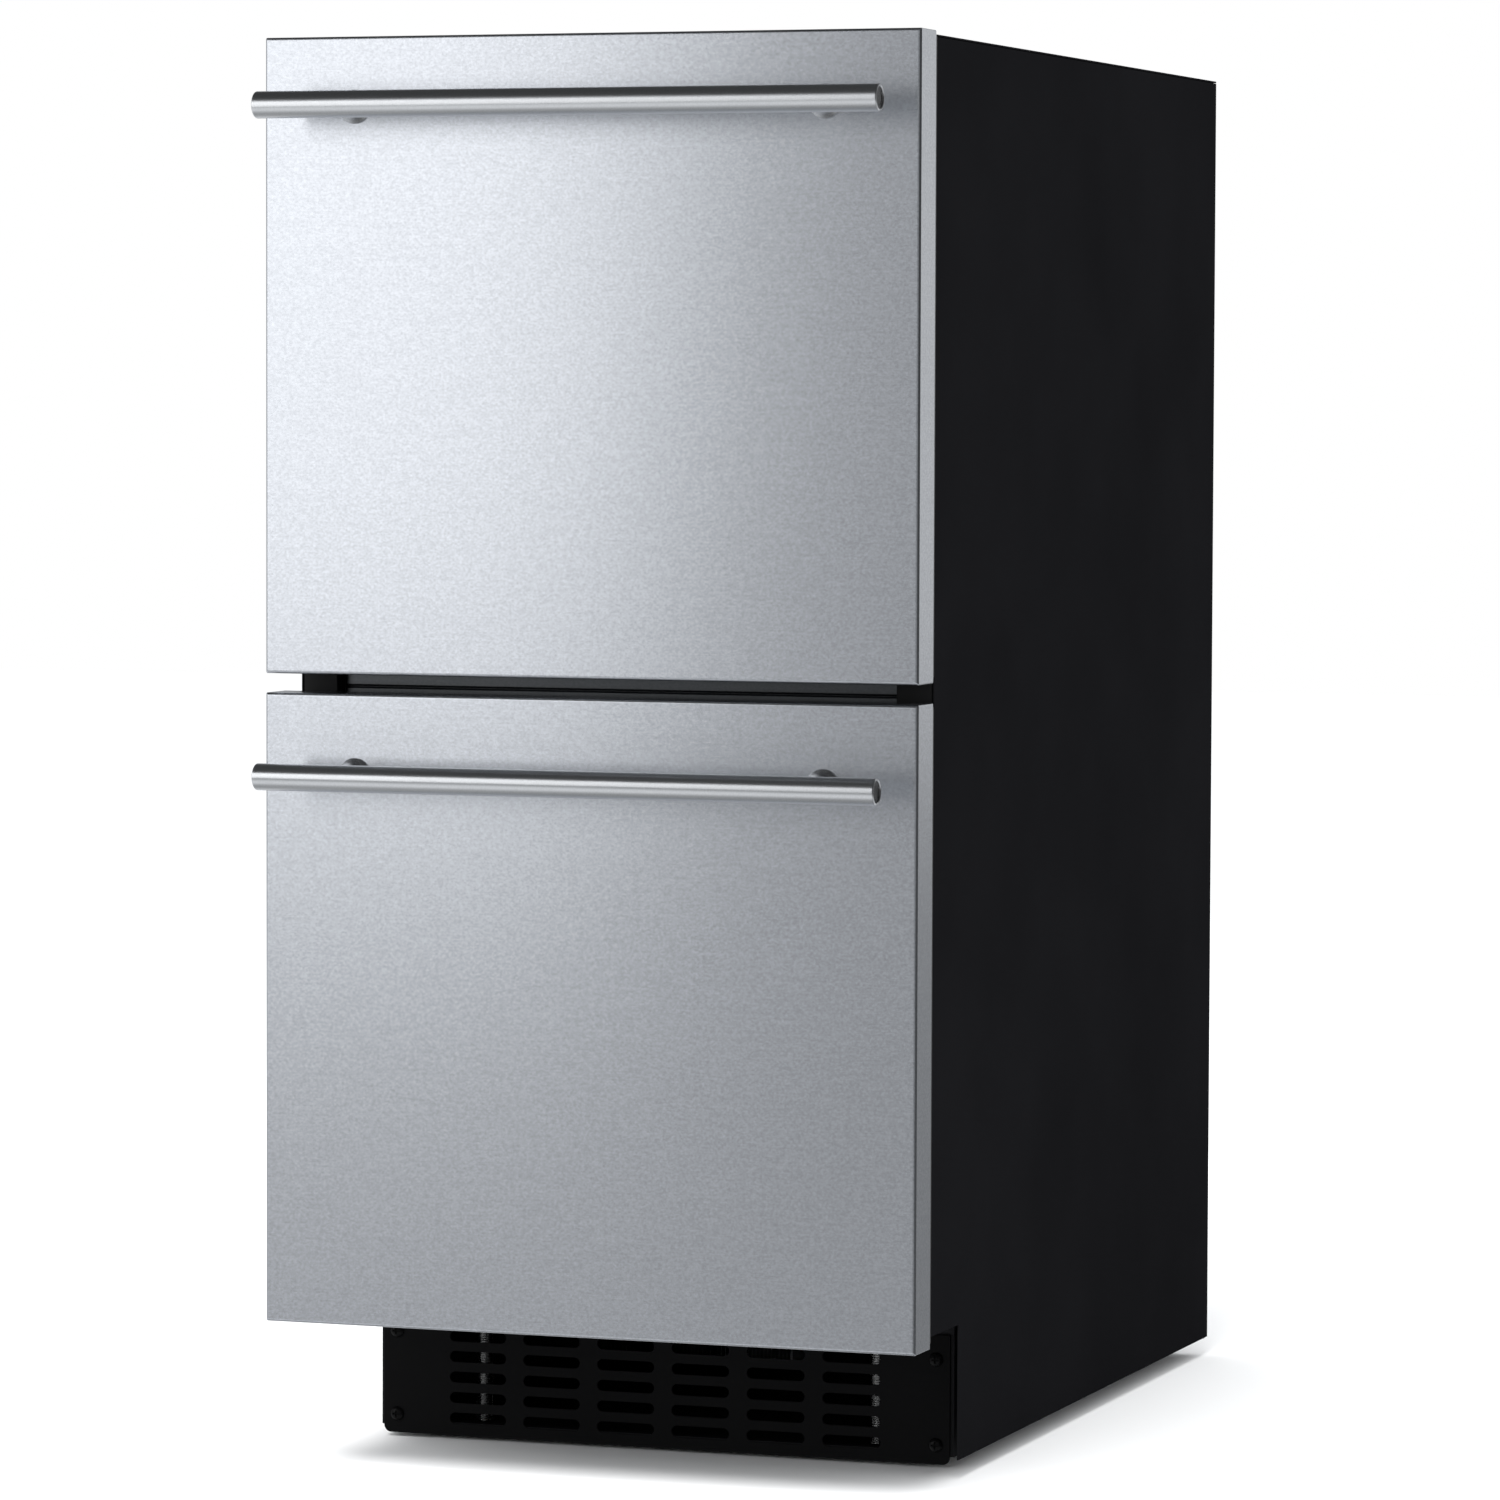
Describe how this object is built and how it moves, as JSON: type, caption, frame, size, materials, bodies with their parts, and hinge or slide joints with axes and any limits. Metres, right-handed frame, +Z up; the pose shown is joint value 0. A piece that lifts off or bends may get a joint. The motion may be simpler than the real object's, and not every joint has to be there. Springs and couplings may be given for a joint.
{
  "type": "under counter fridge",
  "caption": "Undercounter refrigerator with stacked stainless steel drawers, round bar handles, black cabinet, toe kick with slotted air grille and levelling feet.",
  "frame": {"origin": "middle of the bottom of the bounding box, on the floor under the levelling feet", "axes": "+Z up, +X to the right seen from the front, drawers open towards -Y"},
  "size_m": [0.375, 0.6384, 0.782],
  "materials": {
    "back_panel": "satin",
    "base_pan": "satin",
    "centre_mullion": "satin",
    "compressor": "gloss",
    "condenser_coil": "satin",
    "condenser_fan": "matte",
    "control_box": "matte",
    "evaporator_coil": "satin",
    "evaporator_cover": "satin",
    "evaporator_fan": "matte",
    "fan_shroud": "matte",
    "foot_front_left": "satin",
    "foot_front_right": "satin",
    "foot_rear_left": "satin",
    "foot_rear_right": "satin",
    "front_frame": "satin",
    "inner_liner": "satin",
    "insulation_tub": "matte",
    "kick_plate": "satin",
    "kick_screw_1": "satin",
    "kick_screw_2": "satin",
    "kick_screw_3": "satin",
    "kick_screw_4": "satin",
    "lower_bin": "satin",
    "lower_front_core": "matte",
    "lower_front_liner": "matte",
    "lower_front_skin": "satin",
    "lower_gasket": "matte",
    "lower_handle_bar": "satin",
    "lower_handle_cap_left": "satin",
    "lower_handle_cap_right": "satin",
    "lower_handle_post_left": "satin",
    "lower_handle_post_right": "satin",
    "power_inlet": "matte",
    "rear_grille": "satin",
    "side_panel_left": "satin",
    "side_panel_right": "satin",
    "slide_inner_lower_left": "satin",
    "slide_inner_lower_right": "satin",
    "slide_inner_upper_left": "satin",
    "slide_inner_upper_right": "satin",
    "slide_middle_lower_left": "satin",
    "slide_middle_lower_right": "satin",
    "slide_middle_upper_left": "satin",
    "slide_middle_upper_right": "satin",
    "slide_outer_lower_left": "satin",
    "slide_outer_lower_right": "satin",
    "slide_outer_upper_left": "satin",
    "slide_outer_upper_right": "satin",
    "top_panel": "satin",
    "upper_bin": "satin",
    "upper_front_core": "matte",
    "upper_front_liner": "matte",
    "upper_front_skin": "satin",
    "upper_gasket": "matte",
    "upper_handle_bar": "satin",
    "upper_handle_cap_left": "satin",
    "upper_handle_cap_right": "satin",
    "upper_handle_post_left": "satin",
    "upper_handle_post_right": "satin"
  },
  "bodies": {
    "cabinet": {"back_panel": "back_panel", "base_pan": "base_pan", "centre_mullion": "centre_mullion", "compressor": "compressor", "condenser_coil": "condenser_coil", "control_box": "control_box", "evaporator_coil": "evaporator_coil", "evaporator_cover": "evaporator_cover", "fan_shroud": "fan_shroud", "front_frame": "front_frame", "inner_liner": "inner_liner", "insulation_tub": "insulation_tub", "kick_plate": "kick_plate", "kick_screw_1": "kick_screw_1", "kick_screw_2": "kick_screw_2", "kick_screw_3": "kick_screw_3", "kick_screw_4": "kick_screw_4", "power_inlet": "power_inlet", "rear_grille": "rear_grille", "side_panel_left": "side_panel_left", "side_panel_right": "side_panel_right", "slide_outer_lower_left": "slide_outer_lower_left", "slide_outer_lower_right": "slide_outer_lower_right", "slide_outer_upper_left": "slide_outer_upper_left", "slide_outer_upper_right": "slide_outer_upper_right", "top_panel": "top_panel"},
    "upper_drawer": {"upper_bin": "upper_bin", "upper_front_core": "upper_front_core", "upper_front_liner": "upper_front_liner", "upper_front_skin": "upper_front_skin", "upper_gasket": "upper_gasket", "upper_handle_bar": "upper_handle_bar", "upper_handle_cap_left": "upper_handle_cap_left", "upper_handle_cap_right": "upper_handle_cap_right", "upper_handle_post_left": "upper_handle_post_left", "upper_handle_post_right": "upper_handle_post_right", "slide_inner_upper_left": "slide_inner_upper_left", "slide_inner_upper_right": "slide_inner_upper_right"},
    "lower_drawer": {"lower_bin": "lower_bin", "lower_front_core": "lower_front_core", "lower_front_liner": "lower_front_liner", "lower_front_skin": "lower_front_skin", "lower_gasket": "lower_gasket", "lower_handle_bar": "lower_handle_bar", "lower_handle_cap_left": "lower_handle_cap_left", "lower_handle_cap_right": "lower_handle_cap_right", "lower_handle_post_left": "lower_handle_post_left", "lower_handle_post_right": "lower_handle_post_right", "slide_inner_lower_left": "slide_inner_lower_left", "slide_inner_lower_right": "slide_inner_lower_right"},
    "middle_upper_left": {"slide_middle_upper_left": "slide_middle_upper_left"},
    "middle_upper_right": {"slide_middle_upper_right": "slide_middle_upper_right"},
    "middle_lower_left": {"slide_middle_lower_left": "slide_middle_lower_left"},
    "middle_lower_right": {"slide_middle_lower_right": "slide_middle_lower_right"},
    "foot_front_left_body": {"foot_front_left": "foot_front_left"},
    "foot_front_right_body": {"foot_front_right": "foot_front_right"},
    "foot_rear_left_body": {"foot_rear_left": "foot_rear_left"},
    "foot_rear_right_body": {"foot_rear_right": "foot_rear_right"},
    "condenser_fan_body": {"condenser_fan": "condenser_fan"},
    "evaporator_fan_body": {"evaporator_fan": "evaporator_fan"}
  },
  "joints": [
    {"name": "upper_drawer_slide", "type": "slide", "parent": "cabinet", "child": "upper_drawer", "axis": [0, -1, 0], "range_m": [0, 0.42]},
    {"name": "lower_drawer_slide", "type": "slide", "parent": "cabinet", "child": "lower_drawer", "axis": [0, -1, 0], "range_m": [0, 0.26]},
    {"name": "middle_upper_left_slide", "type": "slide", "parent": "cabinet", "child": "middle_upper_left", "axis": [0, -1, 0], "range_m": [0, 0.21]},
    {"name": "middle_upper_right_slide", "type": "slide", "parent": "cabinet", "child": "middle_upper_right", "axis": [0, -1, 0], "range_m": [0, 0.21]},
    {"name": "middle_lower_left_slide", "type": "slide", "parent": "cabinet", "child": "middle_lower_left", "axis": [0, -1, 0], "range_m": [0, 0.13]},
    {"name": "middle_lower_right_slide", "type": "slide", "parent": "cabinet", "child": "middle_lower_right", "axis": [0, -1, 0], "range_m": [0, 0.13]},
    {"name": "foot_front_left_level", "type": "slide", "parent": "cabinet", "child": "foot_front_left_body", "axis": [0, 0, -1], "range_m": [0, 0.02]},
    {"name": "foot_front_right_level", "type": "slide", "parent": "cabinet", "child": "foot_front_right_body", "axis": [0, 0, -1], "range_m": [0, 0.02]},
    {"name": "foot_rear_left_level", "type": "slide", "parent": "cabinet", "child": "foot_rear_left_body", "axis": [0, 0, -1], "range_m": [0, 0.02]},
    {"name": "foot_rear_right_level", "type": "slide", "parent": "cabinet", "child": "foot_rear_right_body", "axis": [0, 0, -1], "range_m": [0, 0.02]},
    {"name": "condenser_fan_spin", "type": "hinge", "parent": "cabinet", "child": "condenser_fan_body", "pos_m": [-0.085, 0.15415, 0.088], "axis": [0, 1, 0], "continuous": true},
    {"name": "evaporator_fan_spin", "type": "hinge", "parent": "cabinet", "child": "evaporator_fan_body", "pos_m": [0, 0.24915, 0.62], "axis": [0, 1, 0], "continuous": true}
  ],
  "couplings": [
    {"joint": "middle_upper_left_slide", "follows": "upper_drawer_slide", "ratio": 0.5},
    {"joint": "middle_upper_right_slide", "follows": "upper_drawer_slide", "ratio": 0.5},
    {"joint": "middle_lower_left_slide", "follows": "lower_drawer_slide", "ratio": 0.5},
    {"joint": "middle_lower_right_slide", "follows": "lower_drawer_slide", "ratio": 0.5}
  ]
}
